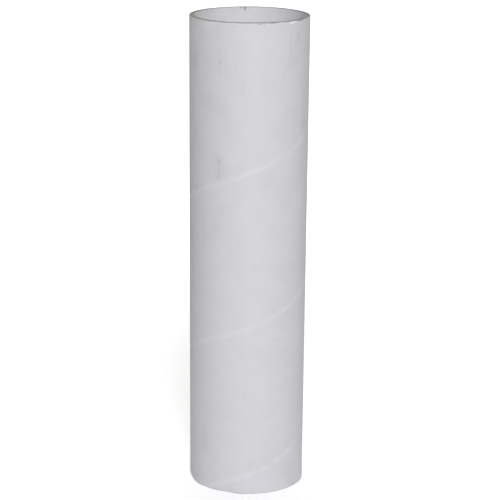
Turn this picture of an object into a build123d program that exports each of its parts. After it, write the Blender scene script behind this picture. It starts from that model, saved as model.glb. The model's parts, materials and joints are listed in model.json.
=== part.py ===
from build123d import *

import os
from math import asin, atan2, degrees, pi, tan

# A spiral wound cardboard tube, open at both ends. It stands on its lower cut end with its axis along Z,
# and its front faces -Y. Lengths are in millimetres. Turn angles are in degrees round the axis, from the
# front towards +X.

# The tube
bore_diameter = 76.2
wall_thickness = 3.5
tube_length = 340.0

# The white facing paper: one strip wound edge to edge round the outside, and one that lines the bore
outer_strip_width = 101.6
outer_strip_thickness = 0.3
outer_seam_gap = 1.2
outer_seam_front_height = 14.6
inner_strip_thickness = 0.3
inner_seam_gap = 0.8
inner_seam_front_height = 62.0

# The stretch of the upper edge that is torn away: how far it reaches in from the outside, and its depth there
torn_edge_turn = 56.5
torn_edge_length = 9.0
torn_edge_reach = 2.6
torn_edge_drop = 0.8

bore_radius = bore_diameter / 2
outer_radius = bore_radius + wall_thickness

# In one turn the outer strip climbs by its own width and its gap, both measured along the axis. All the
# plies are wound together, so the lining climbs at the same rate.
wind_angle = asin((outer_strip_width + outer_seam_gap) / (2 * pi * outer_radius))
wind_pitch = 2 * pi * outer_radius * tan(wind_angle)

# The tube is wound long and then cut to length, so this much of the winding is waste at each end.
waste = 1.5 * wind_pitch


def on_end(radius, low, high):
    """A round bar on the Z axis between two heights."""
    return Pos(0, 0, low) * Cylinder(radius, high - low, align=(Align.CENTER, Align.CENTER, Align.MIN))


def seam(face_radius, depth, gap, front_height):
    """The gap between two turns of a facing strip, as a right-handed ribbon to be cut from the winding."""
    start_height = front_height % wind_pitch - wind_pitch
    climb = tube_length + wind_pitch / 2 - start_height
    path = Helix(wind_pitch, climb, face_radius)
    across = Plane(origin=path @ 0, x_dir=(1, 0, 0), z_dir=path % 0)
    ribbon = sweep(across * Rectangle(2 * depth, gap), path=path, is_frenet=True)
    return Pos(0, 0, start_height) * ribbon


def winding():
    """The wall as it leaves the mandrel, longer than the tube, with a seam in each of its two faces."""
    wall = on_end(outer_radius, -waste, tube_length + waste)
    wall -= on_end(bore_radius, -waste, tube_length + waste)
    wall -= seam(outer_radius, outer_strip_thickness, outer_seam_gap, outer_seam_front_height)
    wall -= seam(bore_radius, inner_strip_thickness, inner_seam_gap, inner_seam_front_height)
    # Each helix starts over +X. The front heights are meant at -Y.
    return Rot(0, 0, -90) * wall


def torn_edge():
    """A round bar laid across the upper edge, which scoops it out where the board is torn.

    Its lowest line meets the cut end within the wall, and falls from there towards the outside.
    """
    scoop_radius = (torn_edge_length**2 / 4 + torn_edge_drop**2) / (2 * torn_edge_drop)
    tilt = degrees(atan2(torn_edge_drop, torn_edge_reach))
    bar = Pos(0, 0, scoop_radius) * Rot(0, 90, 0) * Cylinder(scoop_radius, 4 * wall_thickness)
    bar = Pos(outer_radius - torn_edge_reach, 0, tube_length) * Rot(0, tilt, 0) * bar
    return Rot(0, 0, torn_edge_turn - 90) * bar


def tube():
    """The winding cut square at both ends, with the torn edge: plies glued into one piece."""
    cut_length = on_end(outer_radius + wall_thickness, 0, tube_length)
    return (winding() & cut_length) - torn_edge()


os.makedirs("parts", exist_ok=True)
export_step(tube(), "parts/tube.step")
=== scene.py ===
import json
import random
from math import asin, atan2, cos, degrees, exp, floor, pi, radians, sin, sqrt, tan

import bmesh
import bpy
from mathutils import Matrix, Vector, noise


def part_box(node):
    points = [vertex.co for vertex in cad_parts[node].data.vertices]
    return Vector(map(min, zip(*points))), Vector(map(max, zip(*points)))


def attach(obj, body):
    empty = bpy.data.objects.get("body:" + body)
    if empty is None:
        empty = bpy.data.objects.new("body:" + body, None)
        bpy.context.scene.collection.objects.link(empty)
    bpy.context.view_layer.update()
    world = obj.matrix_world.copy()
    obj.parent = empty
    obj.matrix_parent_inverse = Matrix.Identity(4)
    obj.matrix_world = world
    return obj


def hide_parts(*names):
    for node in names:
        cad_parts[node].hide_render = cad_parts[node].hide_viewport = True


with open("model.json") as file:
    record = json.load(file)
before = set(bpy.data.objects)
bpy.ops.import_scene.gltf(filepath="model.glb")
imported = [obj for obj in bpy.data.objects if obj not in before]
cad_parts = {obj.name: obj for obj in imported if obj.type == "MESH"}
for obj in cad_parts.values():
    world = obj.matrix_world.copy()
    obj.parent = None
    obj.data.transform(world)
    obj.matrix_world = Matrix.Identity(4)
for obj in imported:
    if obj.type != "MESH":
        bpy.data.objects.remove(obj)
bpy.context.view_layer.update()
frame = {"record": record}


# The wound tube
# One spiral wound tube. Strips of grey board are wound round a mandrel and glued to each other, with a strip
# of white paper as the first ply and the last. It is cut square at both ends and stands on the lower one.

mm = 0.001
outer_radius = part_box("tube")[1].x
tube_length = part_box("tube")[1].z
bore = next(mount for mount in frame["record"]["mounts"] if mount["name"] == "bore")
bore_radius = bore["dims"]["r_mm"] * mm
paper_thickness = 0.3 * mm
strip_width = 101.6 * mm
facing_gap = 1.2 * mm
lining_gap = 0.8 * mm
facing_gap_depth = 0.12 * mm
lining_gap_depth = 0.08 * mm
facing_seam_height = 14.6 * mm
lining_seam_height = 62.0 * mm
wind_angle = asin((strip_width + facing_gap) / (2 * pi * outer_radius))
wind_pitch = 2 * pi * outer_radius * tan(wind_angle)

steps_in_a_turn = 180
row_height = 7 * mm
lip_round = 0.35 * mm
lip_dip = 0.15
gap_wall_slope = 0.06 * mm
least_row = 2 * mm
below_seam = 15 * mm
wall_middle = (bore_radius + outer_radius) / 2


def place_of(point):
    """The turn from the front towards +X in degrees, the radius and the height of a point of the tube."""
    return degrees(atan2(point.x, -point.y)), sqrt(point.x**2 + point.y**2), point.z


def at_place(turn, radius, height):
    """The point at a turn in degrees, a radius and a height."""
    return Vector((radius * sin(radians(turn)), -radius * cos(radians(turn)), height))


def pick(piece, kind, wanted):
    """In edit mode, selects just the vertices, edges or faces that pass a test."""
    bpy.ops.mesh.select_mode(type=kind)
    bpy.ops.mesh.select_all(action="DESELECT")
    mesh = bmesh.from_edit_mesh(piece.data)
    parts = {"VERT": mesh.verts, "EDGE": mesh.edges, "FACE": mesh.faces}[kind]
    for part in parts:
        if wanted(part):
            part.select_set(True)
    bmesh.update_edit_mesh(piece.data)


def cut_across(height, **clear):
    """In edit mode, cuts the whole mesh at a height."""
    bpy.ops.mesh.select_all(action="SELECT")
    bpy.ops.mesh.bisect(plane_co=(0, 0, height), plane_no=(0, 0, 1), **clear)


def sink_seam(piece, radius, seam, half, sunk):
    """In edit mode, pushes the paper in the gap of a seam into the wall, and dips the lips beside it."""

    def on_face(vertex, reach):
        return abs(vertex.co.x - radius) < paper_thickness / 2 and abs(vertex.co.z - seam) < reach

    pick(piece, "VERT", lambda vertex: on_face(vertex, half + lip_round / 2))
    bpy.ops.transform.translate(value=(sunk * lip_dip, 0, 0))
    pick(piece, "VERT", lambda vertex: on_face(vertex, half - gap_wall_slope / 2))
    bpy.ops.transform.translate(value=(sunk * (1 - lip_dip), 0, 0))


# The profile of one turn of both papers stands on the radial plane over +X. It starts below the tube, a
# little under a seam of the outer paper.
profile_foot = facing_seam_height + wind_pitch / 4 - 2 * wind_pitch - below_seam
facing_seam = profile_foot + below_seam
lining_seam = facing_seam + lining_seam_height - facing_seam_height
facing_half = facing_gap / 2 / cos(wind_angle)
lining_half = lining_gap / 2 / cos(wind_angle)
narrowing = (wind_pitch - outer_radius + bore_radius) / 2

bpy.ops.object.select_all(action="DESELECT")
bpy.ops.mesh.primitive_plane_add(
    size=wind_pitch,
    location=(wall_middle, 0, profile_foot + wind_pitch / 2),
    rotation=(radians(90), 0, 0),
)
tube = bpy.context.object
tube.name = "wound_tube"
bpy.ops.object.transform_apply(location=True, rotation=True, scale=True)
bpy.ops.object.mode_set(mode="EDIT")
pick(tube, "VERT", lambda vertex: vertex.co.x < wall_middle)
bpy.ops.transform.translate(value=(narrowing, 0, 0))
pick(tube, "VERT", lambda vertex: vertex.co.x > wall_middle)
bpy.ops.transform.translate(value=(-narrowing, 0, 0))

seam_levels = []
for seam, half in ((facing_seam, facing_half), (lining_seam, lining_half)):
    for level in (half - gap_wall_slope, half, half + lip_round, half + 2 * lip_round):
        seam_levels += [seam - level, seam + level]
rows = round(wind_pitch / row_height)
plain_levels = [profile_foot + wind_pitch * row / rows for row in range(1, rows)]
plain_levels = [level for level in plain_levels if min(abs(level - seam) for seam in seam_levels) > least_row]
for level in seam_levels + plain_levels:
    cut_across(level)

# Of the plane only its two upright sides are kept, which are the faces of the two papers.
bpy.ops.mesh.select_all(action="SELECT")
bpy.ops.mesh.delete(type="ONLY_FACE")
pick(tube, "EDGE", lambda edge: abs(edge.verts[0].co.x - edge.verts[1].co.x) > paper_thickness)
bpy.ops.mesh.delete(type="EDGE")
sink_seam(tube, outer_radius, facing_seam, facing_half, -facing_gap_depth)
sink_seam(tube, bore_radius, lining_seam, lining_half, lining_gap_depth)
bpy.ops.object.mode_set(mode="OBJECT")

turns_wound = floor((tube_length - profile_foot) / wind_pitch) + 1
winding = tube.modifiers.new("winding", "SCREW")
winding.axis = "Z"
winding.angle = radians(360)
winding.screw_offset = wind_pitch
winding.iterations = turns_wound
winding.steps = steps_in_a_turn
winding.render_steps = steps_in_a_turn
bpy.ops.object.modifier_apply(modifier="winding")
bpy.ops.object.mode_set(mode="EDIT")
bpy.ops.mesh.select_all(action="SELECT")
bpy.ops.mesh.remove_doubles(threshold=0.01 * mm)
bpy.ops.object.mode_set(mode="OBJECT")


# The cut ends
# A knife cuts the wound tube to length. Each end shows the edges of the plies of grey board between the two
# white papers, each ply a little higher or lower than the next, with a fine groove where two are glued, and a
# short slot in each ply where the knife met the gap between two turns of its strip.

board_plies = 7
paper_edge = 0.12 * mm
paper_glue = 0.15 * mm
first_ply_radius = outer_radius - paper_thickness - paper_glue
last_ply_radius = bore_radius + paper_thickness + paper_glue
ply_step = (first_ply_radius - last_ply_radius) / board_plies
glue_groove = 0.12 * mm
ply_round = 0.05 * mm
deepest_ply = 0.06
cut_sway = 0.06 * mm
cut_round = 0.1 * mm
end_band = 2 * cut_round + cut_sway
end_rows = (0.5, 1.0, 1.6, 2.4, 3.6, 5.4)
slot_depth = 1.4 * mm
slot_half_turns = (1.1, 2.2)
sharp_edge = radians(35)
seeded = random.Random(7)


def draw_ring(piece, radius, end, sink):
    """In edit mode, extrudes the selected ring of edges to another one, sunk unevenly into the cut end."""
    bpy.ops.mesh.extrude_edges_move()
    sway = seeded.uniform(0, 50)
    into_wall = 1 if end < tube_length / 2 else -1
    mesh = bmesh.from_edit_mesh(piece.data)
    for vertex in mesh.verts:
        if vertex.select:
            turn, own_radius, _ = place_of(vertex.co)
            around = at_place(turn, 2, sway)
            uneven = cut_sway * (0.5 + 0.5 * noise.noise(around))
            vertex.co = at_place(turn, radius(own_radius), end + into_wall * (sink + uneven))
    bmesh.update_edit_mesh(piece.data)


def cut_end(piece, end):
    """In edit mode, closes the wall at one end with the edges of its papers and plies."""

    def open_rim(edge, lowest, highest):
        at_end = all(abs(vertex.co.z - end) < end_band for vertex in edge.verts)
        in_ring = all(lowest < place_of(vertex.co)[1] < highest for vertex in edge.verts)
        return edge.is_boundary and at_end and in_ring

    pick(piece, "EDGE", lambda edge: open_rim(edge, bore_radius - mm, wall_middle))
    draw_ring(piece, lambda own: own + paper_edge, end, 0)
    pick(piece, "EDGE", lambda edge: open_rim(edge, wall_middle, outer_radius + mm))
    draw_ring(piece, lambda own: own - paper_edge, end, 0)
    draw_ring(piece, lambda own: first_ply_radius, end, glue_groove)
    for ply in range(board_plies):
        outside = first_ply_radius - ply * ply_step
        sink = seeded.uniform(0, deepest_ply) * mm
        draw_ring(piece, lambda own: outside - ply_round, end, sink)
        draw_ring(piece, lambda own: outside - ply_step + ply_round, end, sink)
        draw_ring(piece, lambda own: outside - ply_step, end, glue_groove)
    pick(piece, "EDGE", lambda edge: open_rim(edge, bore_radius, outer_radius))
    bpy.ops.mesh.bridge_edge_loops()


def slot_plies(piece, end):
    """In edit mode, pushes one or two faces of each ply into the wall, where its strip leaves a gap."""
    into_wall = slot_depth if end < tube_length / 2 else -slot_depth
    for ply in range(board_plies):
        middle = first_ply_radius - (ply + 0.5) * ply_step
        slot_turn = seeded.uniform(-180, 180)
        slot_half = seeded.uniform(*slot_half_turns)

        def in_slot(face):
            turn, radius, height = place_of(face.calc_center_median())
            at_end = abs(height - end) < end_band
            return at_end and abs(radius - middle) < ply_step / 4 and abs(turn - slot_turn) < slot_half

        pick(piece, "FACE", in_slot)
        bpy.ops.mesh.extrude_region_move(TRANSFORM_OT_translate={"value": (0, 0, into_wall)})


bpy.ops.object.mode_set(mode="EDIT")
cut_across(cut_round, clear_inner=True)
cut_across(tube_length - cut_round, clear_outer=True)
for height in end_rows:
    cut_across(height * mm)
    cut_across(tube_length - height * mm)
for end in (tube_length, 0):
    cut_end(tube, end)
bpy.ops.mesh.select_all(action="SELECT")
bpy.ops.mesh.normals_make_consistent(inside=False)
for end in (tube_length, 0):
    slot_plies(tube, end)
bpy.ops.object.mode_set(mode="OBJECT")
bpy.ops.object.shade_smooth_by_angle(angle=sharp_edge)

# Each face gets the place of its material in the tube's list. The outer paper is the first, with 0.
lining_index, board_index, torn_and_highlight_index = 1, 2, 3
inside_paper = paper_thickness + 0.02 * mm
end_depth = 0.25 * mm
for face in tube.data.polygons:
    _, radius, height = place_of(face.center)
    on_end = abs(face.normal.z) > 0.5 and min(height, tube_length - height) < end_depth
    deep = bore_radius + inside_paper < radius < outer_radius - inside_paper
    if deep or (on_end and bore_radius + paper_edge < radius < outer_radius - paper_edge):
        face.material_index = board_index
    elif radius < wall_middle:
        face.material_index = lining_index


# Handling damage
# The outer paper and a few plies are torn away on the right of the upper edge. Knocks have dented the paper
# under the rim, torn two nicks in the lining at the back, crushed the lower edge on the right and pressed the
# foot out of round. Both outer edges are rubbed a little round.

fine_cuts = 3
tear_turn = 56.5
tear_half_length = 4.7 * mm
tear_reach = 2.6 * mm
tear_drop = 0.75 * mm
tear_band = 5.0 * mm
tear_ragged = 0.3
top = tube_length


def arc_from(turn, middle):
    """The length along the outside from one turn to another."""
    return radians((turn - middle + 180) % 360 - 180) * outer_radius


def refine(piece, turns, heights, radii):
    """In edit mode, divides the faces of one region finely."""

    def in_region(face):
        turn, radius, height = place_of(face.calc_center_median())
        in_turns = turns[0] < turn < turns[1]
        return in_turns and heights[0] < height < heights[1] and radii[0] < radius < radii[1]

    pick(piece, "FACE", in_region)
    bpy.ops.mesh.subdivide(number_cuts=fine_cuts)


def bump(along, across):
    """1 in the middle of a mark and nought from one half size away, with a soft edge."""
    reach = 1 - along**2 - across**2
    return reach**2 if reach > 0 else 0


def press_mesh(piece, moved):
    """Moves each vertex to where a function of its turn, radius and height puts it."""
    for vertex in piece.data.vertices:
        turn, radius, height = moved(*place_of(vertex.co))
        vertex.co = at_place(turn, radius, height)


# The wall is divided finely round the tear, under the front of the rim, at the nicks and at the crushed foot.
bpy.ops.object.mode_set(mode="EDIT")
refine(tube, (44, 70), (top - tear_band, top + mm), (bore_radius + mm, outer_radius + mm))
refine(tube, (-22, 20), (top - tear_band, top - 0.2 * mm), (wall_middle, outer_radius + mm))
refine(tube, (-180, -166), (top - 3 * mm, top + mm), (bore_radius - mm, bore_radius + mm))
refine(tube, (38, 70), (-mm, 9 * mm), (wall_middle, outer_radius + mm))
bpy.ops.object.mode_set(mode="OBJECT")


def tear_away(turn, radius, height):
    """The torn stretch falls from within the wall to the outside, and each ply breaks at its own depth."""
    along = arc_from(turn, tear_turn) / tear_half_length
    inwards = (outer_radius - radius) / tear_reach
    if abs(along) > 1.1 or inwards > 1.1:
        return turn, radius, height
    ply = floor((outer_radius - radius) / ply_step)
    coarse = noise.noise(Vector((along * 4, ply * 3.7, 0)))
    fine = noise.noise(Vector((along * 11, ply * 5.3, 4)))
    ragged = tear_ragged * (coarse + 0.5 * fine)
    depth = max(0, tear_drop * (1 - along**2 + ragged) * (1 - inwards + ragged))
    return turn, radius, height - depth * max(0, 1 - (top - height) / tear_band)


# Under the front of the rim a blow has left a raised blister in a shallow crescent of a dent.
blister_turn = -12.0
blister_height = top - 2.0 * mm
blister_size = (3.4 * mm, 1.5 * mm)
blister_rise = 0.22 * mm
dent_depth = 0.18 * mm
dent_width = 0.22


def blister(turn, radius, height):
    """Raises the blister, and sinks the dent along the lower half of its edge."""
    along = arc_from(turn, blister_turn) / blister_size[0]
    up = (height - blister_height) / blister_size[1]
    away = sqrt(along**2 + up**2)
    crescent = exp(-(((away - 1) / dent_width) ** 2)) * max(0, min(1, 0.5 - up))
    if radius < wall_middle:
        return turn, radius, height
    return turn, radius + blister_rise * bump(along, up) - dent_depth * crescent, height


# Two nicks show in the lining under the back of the rim, where the paper is torn off the board.
nicks = ((185.4, 2.6 * mm), (189.8, 1.4 * mm))
nick_half_width = 0.9 * mm
nick_depth = 0.28 * mm


def nick(turn, radius, height):
    """Sinks the lining where a nick is."""
    if radius > wall_middle:
        return turn, radius, height
    for nick_turn, length in nicks:
        radius += nick_depth * bump(arc_from(turn, nick_turn) / nick_half_width, (top - height) / length)
    return turn, radius, height


# The lower edge is crushed on the right, and the paper there has folded in slanting creases.
crush_turn = 53.5
crush_half_length = 7.5 * mm
crush_height = 8.0 * mm
crush_depth = 0.55 * mm
crease_spacing = 2.8 * mm
crease_slant = 0.55
crease_share = 0.65


def crush(turn, radius, height):
    """Presses the crushed place in, most at the very foot and in its creases."""
    along = arc_from(turn, crush_turn)
    if radius < wall_middle or abs(along) > crush_half_length or height > crush_height:
        return turn, radius, height
    share = (1 - (along / crush_half_length) ** 2) * (1 - height / crush_height) ** 2
    uneven = noise.noise(Vector((along / mm * 0.5, height / mm * 0.5, 9)))
    creases = 0.5 + 0.5 * sin(2 * pi * (along - crease_slant * height) / crease_spacing + 3 * uneven)
    return turn, radius - crush_depth * share * (1 - crease_share + crease_share * creases), height


# Knocks have also pressed the foot out of round: it swells on the right and a little on the left, and is flat
# between. For each: turn, how many degrees it reaches to either side, and how far it stands out.
foot_swells = (
    (62.0, 61.0, 26.0, 2.1 * mm),
    (-20.0, 14.0, 14.0, -0.8 * mm),
    (-56.0, 22.0, 22.0, 0.8 * mm),
)
foot_swell_height = 30.0 * mm


def swell_foot(turn, radius, height):
    """Carries the whole wall outwards or inwards, most at the very foot."""
    upwards = max(0, 1 - height / foot_swell_height) ** 2
    for middle, before, after, stands_out in foot_swells:
        aside = turn - middle
        radius += stands_out * upwards * bump(aside / (before if aside < 0 else after), 0)
    return turn, radius, height


# Both outer edges are rubbed round, the lower one more, because the tube is set down on it.
rub_height = 1.6 * mm
foot_rub = 0.26 * mm
rim_rub = 0.10 * mm


def rub_edge(turn, radius, height):
    """Rounds the outer edge of the nearer end."""
    from_end = min(height, top - height)
    if radius < wall_middle or from_end > rub_height:
        return turn, radius, height
    rub = foot_rub if height < wall_middle else rim_rub
    uneven = 1 + 0.6 * noise.noise(at_place(turn, 3, height))
    share = (1 - from_end / rub_height) ** 2 * (radius - wall_middle) / (outer_radius - wall_middle)
    return turn, radius - rub * uneven * share, height


for damage in (tear_away, blister, nick, crush, rub_edge, swell_foot):
    press_mesh(tube, damage)

# The white paper breaks off further out than the board under it, and a bit of it is folded over the rim.
torn_width = 0.45 * mm
torn_depth = 1.5 * mm
fold_turns = (48.9, 50.3)
fold_width = 0.9 * mm
# The torn faces take the torn white, which is partly a painted highlight.
for face in tube.data.polygons:
    turn, radius, height = place_of(face.center)
    torn = abs(arc_from(turn, tear_turn)) < 1.05 * tear_half_length and radius > outer_radius - torn_width
    folded_over = fold_turns[0] < turn < fold_turns[1] and radius > outer_radius - fold_width
    if face.material_index == board_index and height > top - torn_depth and (torn or folded_over):
        face.material_index = torn_and_highlight_index


# The white papers
# Both papers are bleached white, matt and a little fibrous. Where two turns of a strip meet, the paper shows
# a little lighter. Handling has left grey smudges, scrapes and rubbed edges, and grey shade is painted into
# the creases of the crushed foot.

seam_spread = 2.6
dirt_and_shade_share = 0.42
facing_edge_reach = 0.42
lining_edge_reach = 0.25


def new_node(tree, kind, **settings):
    """A node of a material or a node group."""
    made = tree.nodes.new(kind)
    for name, value in settings.items():
        setattr(made, name, value)
    return made


def feed(tree, node, **inputs):
    """Sets or links a node's inputs by name, where _ stands for a space."""
    for name, value in inputs.items():
        socket = node.inputs[name.replace("_", " ")]
        if isinstance(value, bpy.types.NodeSocket):
            tree.links.new(value, socket)
        else:
            socket.default_value = value
    return node


def reckon(tree, operation, *values):
    """The socket of a Math node's result."""
    made = new_node(tree, "ShaderNodeMath", operation=operation)
    for socket, value in zip(made.inputs, values):
        if isinstance(value, bpy.types.NodeSocket):
            tree.links.new(value, socket)
        else:
            socket.default_value = value
    return made.outputs[0]


def new_material(name):
    """A material with nodes, and its node tree."""
    material = bpy.data.materials.new(name)
    material.use_nodes = True
    return material, material.node_tree


def new_group(name, inputs, outputs):
    """An empty node group with number sockets, and its input and output nodes."""
    group = bpy.data.node_groups.new(name, "ShaderNodeTree")
    for label in inputs:
        group.interface.new_socket(label, in_out="INPUT", socket_type="NodeSocketFloat")
    for label in outputs:
        group.interface.new_socket(label, in_out="OUTPUT", socket_type="NodeSocketFloat")
    return group, new_node(group, "NodeGroupInput"), new_node(group, "NodeGroupOutput")


def use_group(tree, group, **inputs):
    """Places a node group in a material or another group."""
    made = new_node(tree, "ShaderNodeGroup")
    made.node_tree = group
    return feed(tree, made, **inputs)


def speckle(tree, grain, detail=3.0, vector=None, roughness=0.5):
    """Noise between 0 and 1 whose grain is so many millimetres wide."""
    made = new_node(tree, "ShaderNodeTexNoise")
    feed(tree, made, Scale=1 / (grain * mm), Detail=detail, Roughness=roughness)
    where = vector or new_node(tree, "ShaderNodeTexCoord").outputs["Object"]
    tree.links.new(where, made.inputs["Vector"])
    return made.outputs["Fac"]


def ramp(tree, value, low, high, to_low=0.0, to_high=1.0):
    """Carries a value smoothly from one range to another."""
    made = new_node(tree, "ShaderNodeMapRange", interpolation_type="SMOOTHSTEP")
    feed(tree, made, Value=value, From_Min=low, From_Max=high, To_Min=to_low, To_Max=to_high)
    return made.outputs["Result"]


def tint(tree, share, under, over):
    """Lays one colour over another where the share is 1."""
    made = new_node(tree, "ShaderNodeMix", data_type="RGBA")
    for socket, value in ((made.inputs[0], share), (made.inputs[6], under), (made.inputs[7], over)):
        if isinstance(value, bpy.types.NodeSocket):
            tree.links.new(value, socket)
        else:
            socket.default_value = (*value, 1) if isinstance(value, tuple) else value
    return made.outputs[2]


def relief(tree, height, strength, depth):
    """The normal of a surface whose fibres stand up by a depth."""
    bulge = new_node(tree, "ShaderNodeBump")
    feed(tree, bulge, Strength=strength, Distance=depth, Height=height)
    return bulge.outputs["Normal"]


def lay_surface(tree, colour, normal, roughness, shine):
    """Hands a material's colour, normal and finish to its shader."""
    feed(
        tree,
        tree.nodes["Principled BSDF"],
        Base_Color=colour,
        Normal=normal,
        Roughness=roughness,
        Specular_IOR_Level=shine,
    )


# Where a point of the tube is: its turn in degrees, and its height and radius in millimetres.
tube_place, _, found = new_group("tube_place", (), ("Turn", "Height", "Radius"))
point = new_node(tube_place, "ShaderNodeTexCoord").outputs["Object"]
split = new_node(tube_place, "ShaderNodeSeparateXYZ")
tube_place.links.new(point, split.inputs[0])
x, y, z = split.outputs
angle = reckon(tube_place, "ARCTAN2", x, reckon(tube_place, "MULTIPLY", y, -1))
x_square, y_square = reckon(tube_place, "MULTIPLY", x, x), reckon(tube_place, "MULTIPLY", y, y)
radius_square = reckon(tube_place, "ADD", x_square, y_square)
feed(
    tube_place,
    found,
    Turn=reckon(tube_place, "DEGREES", angle),
    Height=reckon(tube_place, "DIVIDE", z, mm),
    Radius=reckon(tube_place, "DIVIDE", reckon(tube_place, "SQRT", radius_square), mm),
)

# How far above or below the nearest seam a point is, in millimetres along the axis.
strip_seam, given, found = new_group("strip_seam", ("Turn", "Height", "Front Height"), ("Distance",))
climbed = reckon(strip_seam, "MULTIPLY", given.outputs["Turn"], wind_pitch / mm / 360)
above = reckon(strip_seam, "SUBTRACT", given.outputs["Height"], given.outputs["Front Height"])
above = reckon(strip_seam, "SUBTRACT", above, climbed)
feed(strip_seam, found, Distance=reckon(strip_seam, "WRAP", above, wind_pitch / mm / 2, -wind_pitch / mm / 2))

# A soft oval mark. It leans by so many degrees from upright towards +Turn. Its half sizes are in millimetres.
mark_values = ("Turn", "Height", "Mark Turn", "Mark Height", "Half Height", "Half Width", "Lean")
handling_mark, given, found = new_group("handling_mark", mark_values, ("Mask",))
apart = reckon(handling_mark, "SUBTRACT", given.outputs["Turn"], given.outputs["Mark Turn"])
apart = reckon(handling_mark, "WRAP", apart, 180.0, -180.0)
aside = reckon(handling_mark, "MULTIPLY", apart, radians(1) * outer_radius / mm)
above = reckon(handling_mark, "SUBTRACT", given.outputs["Height"], given.outputs["Mark Height"])
lean = reckon(handling_mark, "RADIANS", given.outputs["Lean"])
lean_cos, lean_sin = reckon(handling_mark, "COSINE", lean), reckon(handling_mark, "SINE", lean)
along = reckon(handling_mark, "MULTIPLY", above, lean_cos)
along = reckon(handling_mark, "MULTIPLY_ADD", aside, lean_sin, along)
across = reckon(handling_mark, "MULTIPLY", above, lean_sin)
across = reckon(handling_mark, "SUBTRACT", reckon(handling_mark, "MULTIPLY", aside, lean_cos), across)
along = reckon(handling_mark, "DIVIDE", along, given.outputs["Half Height"])
across = reckon(handling_mark, "DIVIDE", across, given.outputs["Half Width"])
away = reckon(handling_mark, "MULTIPLY_ADD", along, along, reckon(handling_mark, "MULTIPLY", across, across))
reach = reckon(handling_mark, "MAXIMUM", reckon(handling_mark, "SUBTRACT", 1.0, away), 0.0)
feed(handling_mark, found, Mask=reckon(handling_mark, "MULTIPLY", reach, reach))

# The fibres of a paper: a tone about nought, and a height for the bump.
paper_fibre, given, found = new_group("paper_fibre", (), ("Tone", "Fibre Height"))
flock = speckle(paper_fibre, 0.9, 6.0, roughness=0.65)
cloud = speckle(paper_fibre, 14.0, 3.0)
tone = reckon(paper_fibre, "ADD", reckon(paper_fibre, "MULTIPLY", flock, 1.2), cloud)
feed(
    paper_fibre,
    found,
    Tone=reckon(paper_fibre, "SUBTRACT", tone, 1.1),
    Fibre_Height=reckon(paper_fibre, "MULTIPLY_ADD", cloud, 0.6, flock),
)

# How much a paper is rubbed off along the nearer cut edge, over a reach in millimetres that wanders.
rubbed_edge, given, found = new_group("rubbed_edge", ("Height", "Reach"), ("Mask",))
from_top = reckon(rubbed_edge, "SUBTRACT", tube_length / mm, given.outputs["Height"])
from_edge = reckon(rubbed_edge, "MINIMUM", given.outputs["Height"], from_top)
wander = ramp(rubbed_edge, speckle(rubbed_edge, 7.0, 4.0), 0.3, 0.7, 0.25, 1.5)
reach = reckon(rubbed_edge, "MULTIPLY", wander, given.outputs["Reach"])
worn = ramp(rubbed_edge, reckon(rubbed_edge, "DIVIDE", from_edge, reach), 0.4, 1.3, 1.0, 0.0)
patchy = ramp(rubbed_edge, speckle(rubbed_edge, 0.5, 3.0), 0.3, 0.6)
feed(rubbed_edge, found, Mask=reckon(rubbed_edge, "MULTIPLY", worn, patchy))

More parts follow.
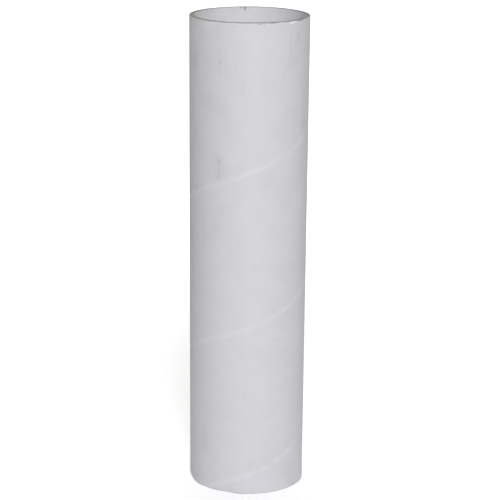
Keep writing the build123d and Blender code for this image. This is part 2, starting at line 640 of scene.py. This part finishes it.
# The smudges on the outside, as seen on the front, and their like round the back: turn, height, half height,
# half width, lean and strength. Three thin slanting ones at the crushed foot are painted shade in its
# creases.
smudges_and_crease_shade = (
    (-30.4, 335.1, 1.8, 1.7, 0, 0.65),
    (-31.4, 330.4, 1.6, 1.5, 0, 0.6),
    (-28.1, 313.4, 2.2, 1.8, 0, 0.45),
    (-21.0, 311.8, 1.8, 2.2, 0, 0.3),
    (-13.3, 310.6, 1.9, 1.8, 0, 0.4),
    (-28.2, 309.0, 32.0, 1.5, 0, 0.2),
    (-28.0, 241.5, 13.5, 8.5, -15, 0.5),
    (-29.8, 245.4, 4.2, 1.9, -12, 0.5),
    (-26.2, 246.6, 2.6, 1.5, 20, 0.4),
    (-28.6, 238.6, 3.0, 1.6, 30, 0.35),
    (-29.4, 234.0, 3.8, 2.2, 14, 0.5),
    (-47.3, 194.0, 27.0, 1.4, 0, 0.35),
    (-43.4, 286.0, 9.0, 6.5, 25, 0.24),
    (-60.3, 313.0, 13.0, 6.5, 5, 0.45),
    (-62.0, 263.0, 2.6, 3.4, 0, 0.45),
    (-60.9, 222.9, 3.2, 4.4, 0, 0.6),
    (-4.8, 297.0, 6.5, 2.4, 15, 0.25),
    (-5.0, 275.0, 1.6, 3.2, 0, 0.3),
    (9.0, 253.0, 2.2, 4.0, 0, 0.2),
    (8.4, 170.4, 7.0, 5.0, 40, 0.25),
    (-2.0, 76.8, 9.0, 2.0, 8, 0.25),
    (-45.8, 40.3, 17.0, 4.0, 5, 0.4),
    (5.0, 22.5, 9.0, 9.0, 0, 0.28),
    (-55.9, 6.2, 1.4, 4.0, 0, 0.75),
    # Painted shade along the slanting creases of the crushed foot.
    (46.5, 4.6, 2.6, 0.7, 64, 0.9),
    (51.0, 3.4, 2.8, 0.7, 60, 1.0),
    (56.0, 2.8, 2.4, 0.7, 58, 1.0),
    (50.0, 5.0, 6.0, 9.0, 20, 0.28),
    (42.0, 325.0, 15.0, 1.7, 0, 0.35),
    (52.0, 327.0, 8.0, 6.0, 0, 0.3),
    (44.0, 312.0, 6.0, 6.0, 0, 0.22),
    (33.0, 303.0, 5.0, 2.2, 0, 0.25),
    (64.0, 268.0, 7.0, 7.0, 0, 0.5),
    (31.0, 116.4, 1.9, 1.7, 0, 0.45),
    (-28.0, 44.0, 2.0, 1.7, 0, 0.4),
    (46.0, 14.5, 8.0, 9.0, 0, 0.3),
    (118.0, 262.0, 16.0, 6.0, -30, 0.3),
    (152.0, 118.0, 26.0, 1.6, 4, 0.3),
    (-158.0, 204.0, 9.0, 7.0, 15, 0.3),
    (-121.0, 88.0, 13.0, 2.6, -12, 0.3),
    (171.0, 14.0, 8.0, 10.0, 0, 0.3),
    (97.0, 331.0, 4.0, 5.0, 0, 0.3),
)
# Where the outer paper is scraped through to the board, in the same form.
scrapes = (
    (8.8, 338.95, 0.5, 3.0, 0, 0.7),
    (13.9, 339.1, 0.5, 0.5, 0, 1.2),
    (23.0, 339.7, 0.6, 5.5, 0, 0.9),
    (56.0, 339.0, 0.8, 5.5, 0, 0.5),
    (52.0, 1.4, 1.4, 5.0, 0, 0.35),
    (-128.0, 1.0, 1.2, 3.5, 0, 0.6),
)
# The same on the lining, with the two nicks.
lining_smudges = (
    (160.0, 334.0, 3.0, 7.0, 0, 0.3),
    (-150.0, 331.0, 4.0, 5.0, 10, 0.3),
    (12.0, 328.0, 9.0, 3.0, -15, 0.4),
)
lining_scrapes = (
    (185.4, 339.6, 2.9, 1.0, 6, 1.8),
    (189.8, 339.9, 1.6, 0.95, -5, 1.8),
)


def add_marks(tree, turn, height, marks):
    """The masks of a list of marks, each times its strength, added up."""
    total = 0.0
    for mark_turn, mark_height, half_height, half_width, lean, strength in marks:
        mark = use_group(
            tree,
            handling_mark,
            Turn=turn,
            Height=height,
            Mark_Turn=mark_turn,
            Mark_Height=mark_height,
            Half_Height=half_height,
            Half_Width=half_width,
            Lean=lean,
        )
        total = reckon(tree, "MULTIPLY_ADD", mark.outputs["Mask"], strength, total)
    return total


# Each paper's white where its fibres lie thin and thick, and a lighter white in a soft band along its seam.
facing_whites = ((0.662, 0.657, 0.669), (0.692, 0.687, 0.70), (0.722, 0.717, 0.73))
lining_whites = ((0.72, 0.715, 0.726), (0.75, 0.745, 0.757), (0.755, 0.75, 0.762))
# The grey of the smudges, also used for the painted shade in the creases of the crushed foot.
smudge_and_shade_grey = (0.40, 0.395, 0.40)
bare_board = (0.30, 0.292, 0.27)


def paper(name, whites, seam_height, seam_half, edge_reach, dirt_and_shade_marks, bare_marks):
    """A white paper with its seam, its fibres, its wear and the painted crease shade among its marks. Lengths
    are in millimetres.
    """
    material, tree = new_material(name)
    place = use_group(tree, tube_place)
    turn, height = place.outputs["Turn"], place.outputs["Height"]
    fibre = use_group(tree, paper_fibre)
    shade, clean, light = whites
    colour = tint(tree, ramp(tree, fibre.outputs["Tone"], -0.35, 0.35), shade, clean)

    seam = use_group(tree, strip_seam, Turn=turn, Height=height, Front_Height=seam_height)
    from_seam = reckon(tree, "ABSOLUTE", seam.outputs["Distance"])
    broken = ramp(tree, speckle(tree, 9.0, 3.0), 0.3, 0.65, 0.2, 1.0)
    band = ramp(tree, from_seam, seam_half, seam_half + seam_spread, 1.0, 0.0)
    colour = tint(tree, reckon(tree, "MULTIPLY", band, broken), colour, light)

    # The smudges and the painted crease shade are bent out of their ovals by a wander of a millimetre or two,
    # and are patchy.
    aside = reckon(tree, "SUBTRACT", speckle(tree, 4.0, 3.0), 0.5)
    upwards = reckon(tree, "SUBTRACT", speckle(tree, 3.0, 3.0), 0.5)
    ragged_turn = reckon(tree, "MULTIPLY_ADD", aside, 2.4, turn)
    ragged_height = reckon(tree, "MULTIPLY_ADD", upwards, 2.0, height)
    patchy = ramp(tree, speckle(tree, 1.6, 4.0), 0.3, 0.7, 0.45, 1.2)
    dusty = ramp(tree, speckle(tree, 30.0, 4.0), 0.5, 0.75, 0.0, 0.1)
    dirt_and_shade = add_marks(tree, ragged_turn, ragged_height, dirt_and_shade_marks)
    dirt_and_shade = reckon(tree, "MULTIPLY", reckon(tree, "MULTIPLY_ADD", dirt_and_shade, dirt_and_shade_share, dusty), patchy)
    colour = tint(tree, reckon(tree, "MINIMUM", dirt_and_shade, 1.0), colour, smudge_and_shade_grey)

    worn = use_group(tree, rubbed_edge, Height=height, Reach=edge_reach).outputs["Mask"]
    scraped = reckon(tree, "MULTIPLY", add_marks(tree, turn, height, bare_marks), patchy)
    worn = reckon(tree, "MINIMUM", reckon(tree, "ADD", worn, scraped), 1.0)
    colour = tint(tree, worn, colour, bare_board)

    normal = relief(tree, fibre.outputs["Fibre Height"], 0.35, 0.03 * mm)
    lay_surface(tree, colour, normal, roughness=ramp(tree, worn, 0.0, 1.0, 0.62, 0.9), shine=0.3)
    return material


facing_paper = paper(
    "facing_paper",
    facing_whites,
    seam_height=facing_seam_height / mm,
    seam_half=facing_half / mm,
    edge_reach=facing_edge_reach,
    dirt_and_shade_marks=smudges_and_crease_shade,
    bare_marks=scrapes,
)
lining_paper = paper(
    "lining_paper",
    lining_whites,
    seam_height=lining_seam_height / mm,
    seam_half=lining_half / mm,
    edge_reach=lining_edge_reach,
    dirt_and_shade_marks=lining_smudges,
    bare_marks=lining_scrapes,
)

# The torn paper is the same white without its smooth face, so its fibres stand up. Its white is also set far
# above the paper's white as a painted highlight, so the torn edges and slivers look lit.
torn_whites_and_highlight = ((0.8, 0.795, 0.8), (0.93, 0.925, 0.93))
torn_paper_and_highlight, tree = new_material("torn_paper_and_highlight")
hairs = speckle(tree, 0.25, 5.0, roughness=0.7)
colour = tint(tree, ramp(tree, hairs, 0.35, 0.6), *torn_whites_and_highlight)
lay_surface(tree, colour, relief(tree, hairs, 0.6, 0.08 * mm), roughness=0.9, shine=0.2)


# The grey board
# The plies are grey board of recycled fibre, cut across. Each ply has its own tone, with long fibres, dark
# and light specks, and a darker line of glue between it and the next.

board_dark = (0.23, 0.224, 0.205)
board_light = (0.42, 0.41, 0.382)
glue_line = (0.15, 0.144, 0.128)
pale_fleck = (0.55, 0.54, 0.51)
along_share = 0.12

grey_board, tree = new_material("grey_board")
radius_here = use_group(tree, tube_place).outputs["Radius"]
plies_in = reckon(tree, "DIVIDE", reckon(tree, "SUBTRACT", first_ply_radius / mm, radius_here), ply_step / mm)
ply_tone = new_node(tree, "ShaderNodeTexWhiteNoise", noise_dimensions="1D")
feed(tree, ply_tone, W=reckon(tree, "FLOOR", plies_in))

# Fibres lie along the plies: the pattern changes quickly with the radius and slowly round the tube.
around = new_node(tree, "ShaderNodeSeparateXYZ")
tree.links.new(new_node(tree, "ShaderNodeTexCoord").outputs["Object"], around.inputs[0])
drawn_out = new_node(tree, "ShaderNodeCombineXYZ")
feed(
    tree,
    drawn_out,
    X=reckon(tree, "MULTIPLY", radius_here, mm),
    Y=reckon(tree, "MULTIPLY", around.outputs["X"], along_share),
    Z=reckon(tree, "MULTIPLY", around.outputs["Y"], along_share),
)
fibres = speckle(tree, 0.16, 5.0, drawn_out.outputs["Vector"], 0.6)
specks = speckle(tree, 0.3, 4.0)
tone = reckon(tree, "MULTIPLY_ADD", ply_tone.outputs["Value"], 0.35, fibres)
colour = tint(tree, ramp(tree, tone, 0.35, 1.0), board_dark, board_light)
colour = tint(tree, ramp(tree, specks, 0.62, 0.74, 0.0, 0.7), colour, pale_fleck)
in_ply = reckon(tree, "ABSOLUTE", reckon(tree, "SUBTRACT", reckon(tree, "FRACT", plies_in), 0.5))
colour = tint(tree, ramp(tree, in_ply, 0.38, 0.5, 0.0, 0.8), colour, glue_line)
normal = relief(tree, reckon(tree, "MULTIPLY_ADD", specks, 0.6, fibres), 0.6, 0.06 * mm)
lay_surface(tree, colour, normal, roughness=0.92, shine=0.2)

for material in (facing_paper, lining_paper, grey_board, torn_paper_and_highlight):
    tube.data.materials.append(material)
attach(tube, "root")
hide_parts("tube")


# The torn shreds
# Slivers of the white outer paper still hang at the torn stretch, at a frayed place on the front of the rim,
# and at the crushed lower edge. Each is held along one side and curls away from the wall along the other.
# The torn sides show the loose white fibres.

shred_thickness = 0.1 * mm
shred_edge = radians(40)
shred_columns = 14
shred_rows = 4
sunk_side = 0.07 * mm
under_rim = 0.08 * mm
blunt_end = 0.12
# For each: turn and height in mm of the two ends of its held side, its width in mm, which is below nought
# where it hangs down, how far in mm its free side stands off the wall, and what its outer face shows.
shreds = (
    # The first and the fourth show the torn white on their outer face as a painted highlight.
    (38.0, 339.3, 47.4, 339.9, -1.25, 0.85, torn_paper_and_highlight),
    (46.2, 339.2, 50.2, 338.9, -0.6, 0.35, facing_paper),
    (50.6, 338.5, 53.8, 338.3, 0.75, 0.3, facing_paper),
    (53.0, 338.6, 56.4, 338.4, -0.6, 0.32, torn_paper_and_highlight),
    (55.6, 338.2, 59.2, 338.3, 0.7, 0.25, facing_paper),
    (59.0, 338.7, 62.4, 339.2, 0.5, 0.25, facing_paper),
    (5.4, 339.4, 12.6, 339.5, -0.5, 0.16, facing_paper),
    (46.6, 2.6, 50.0, 1.0, -0.5, 0.16, facing_paper),
    (55.2, 2.2, 58.4, 0.8, -0.45, 0.15, facing_paper),
)


def lay_shred(number, from_turn, from_height, to_turn, to_height, width, lift, outer_face):
    """A thin curled sliver of paper whose held side is sunk a little in the wall."""
    bpy.ops.object.select_all(action="DESELECT")
    bpy.ops.mesh.primitive_grid_add(
        x_subdivisions=shred_columns,
        y_subdivisions=shred_rows,
        size=1,
        location=at_place(from_turn, outer_radius, 0),
    )
    shred = bpy.context.object
    shred.name = f"shred_{number}"
    start = shred.location.copy()
    for vertex in shred.data.vertices:
        along = vertex.co.x + 0.5
        across = vertex.co.y + 0.5
        ragged = noise.noise(Vector((along * 6, across, number * 7.1)))
        taper = max(blunt_end, sqrt(max(0, 1 - (2 * along - 1) ** 2)) * (0.85 + 0.6 * ragged))
        turn = from_turn + (to_turn - from_turn) * (along + 0.03 * ragged)
        frayed = 0.3 * noise.noise(Vector((along * 9, number * 3.3, 5)))
        height = (from_height + (to_height - from_height) * along + frayed + width * across * taper) * mm
        out = lift * mm * across**1.5 * taper * (1 + 0.5 * ragged) - sunk_side
        vertex.co = at_place(turn, outer_radius + out, min(height, top - under_rim)) - start
    bpy.ops.object.transform_apply(location=True, rotation=True, scale=True)
    if width < 0:
        bpy.ops.object.mode_set(mode="EDIT")
        bpy.ops.mesh.select_all(action="SELECT")
        bpy.ops.mesh.flip_normals()
        bpy.ops.object.mode_set(mode="OBJECT")
    shred.data.materials.append(outer_face)
    shred.data.materials.append(torn_paper_and_highlight)
    skin = shred.modifiers.new("skin", "SOLIDIFY")
    skin.thickness = shred_thickness
    skin.offset = 0
    skin.material_offset = 1
    skin.material_offset_rim = 1
    bpy.ops.object.modifier_apply(modifier="skin")
    bpy.ops.object.mode_set(mode="EDIT")
    bpy.ops.mesh.select_all(action="SELECT")
    bpy.ops.mesh.normals_make_consistent(inside=False)
    bpy.ops.object.mode_set(mode="OBJECT")
    bpy.ops.object.shade_smooth_by_angle(angle=shred_edge)
    return shred


laid = [lay_shred(number, *shred) for number, shred in enumerate(shreds)]
bpy.ops.object.select_all(action="DESELECT")
for shred in laid:
    shred.select_set(True)
bpy.context.view_layer.objects.active = laid[0]
bpy.ops.object.join()
torn_shreds = bpy.context.object
torn_shreds.name = "torn_shreds"
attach(torn_shreds, "root")
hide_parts("tube")


# The floor, the light and the camera
# A white floor runs on behind the tube without an edge. A large soft lamp stands in front, a little to the
# right, and the room behind is white and bright, so both sides of the tube fall off to grey.

floor_size = 30
floor_near, floor_far = 0.8, 0.58
glow_near, glow_far = 0.42, 1.0
bpy.ops.object.select_all(action="DESELECT")
bpy.ops.mesh.primitive_plane_add(size=floor_size)
ground = bpy.context.object
ground.name = "white_floor"
white_floor, tree = new_material("white_floor")
shader = tree.nodes["Principled BSDF"]
feed(tree, shader, Roughness=0.9, Specular_IOR_Level=0.0, Emission_Color=(1, 1, 1, 1))
seen = new_node(tree, "ShaderNodeLightPath").outputs["Is Camera Ray"]
away = new_node(tree, "ShaderNodeVectorMath", operation="LENGTH")
tree.links.new(new_node(tree, "ShaderNodeTexCoord").outputs["Object"], away.inputs[0])
glow = ramp(tree, away.outputs["Value"], 0.1, 0.75, glow_near, glow_far)
paleness = ramp(tree, away.outputs["Value"], 0.1, 0.6, floor_near, floor_far)
feed(tree, shader, Base_Color=paleness, Emission_Strength=reckon(tree, "MULTIPLY", glow, seen))
ground.data.materials.append(white_floor)

# The room is bright behind and nearly dark in front. The camera sees it white all round.
room_white = (1.0, 1.0, 0.97)
camera_white = (1.0, 1.0, 1.0)
room = bpy.data.worlds.new("white_room")
bpy.context.scene.world = room
room.use_nodes = True
tree = room.node_tree
split = new_node(tree, "ShaderNodeSeparateXYZ")
tree.links.new(new_node(tree, "ShaderNodeTexCoord").outputs["Generated"], split.inputs[0])
behind = ramp(tree, split.outputs["Y"], -0.05, 0.4, 0.07, 0.84)
straight_behind = ramp(tree, split.outputs["Y"], 0.7, 0.98, 0.0, 1.3)
overhead = ramp(tree, split.outputs["Z"], 0.3, 1.0, 0.0, 0.12)
seen = new_node(tree, "ShaderNodeLightPath").outputs["Is Camera Ray"]
strength = reckon(tree, "ADD", reckon(tree, "ADD", behind, straight_behind), overhead)
strength = reckon(tree, "MAXIMUM", strength, seen)
colour = tint(tree, seen, room_white, camera_white)
feed(tree, tree.nodes["Background"], Color=colour, Strength=strength)

key_turn = 6
key_rise = 25
key_distance = 8.0
key_size = 2.2
key_power = 484
key_colour = (0.957, 0.949, 1.0)
bpy.ops.object.light_add(type="AREA")
key = bpy.context.object
key.name = "soft_key"
key.data.shape = "SQUARE"
key.data.size = key_size
key.data.energy = key_power
key.data.color = key_colour
aim = Vector((0, 0, tube_length / 2))
reach = at_place(key_turn, key_distance * cos(radians(key_rise)), key_distance * sin(radians(key_rise)))
key.location = aim + reach
key.rotation_euler = reach.to_track_quat("Z", "Y").to_euler()

camera_distance = 1.05858
camera_height = 0.48716
camera_pitch = 16.602
camera_yaw = -0.084
camera_roll = 0.505
camera_lens = 111.032
bpy.ops.object.camera_add()
camera = bpy.context.object
camera.data.lens = camera_lens
camera.matrix_world = (
    Matrix.Translation((0, -camera_distance, camera_height))
    @ Matrix.Rotation(radians(camera_yaw), 4, "Z")
    @ Matrix.Rotation(radians(90 - camera_pitch), 4, "X")
    @ Matrix.Rotation(radians(camera_roll), 4, "Z")
)
bpy.context.scene.camera = camera
bpy.context.scene.view_settings.view_transform = "Standard"
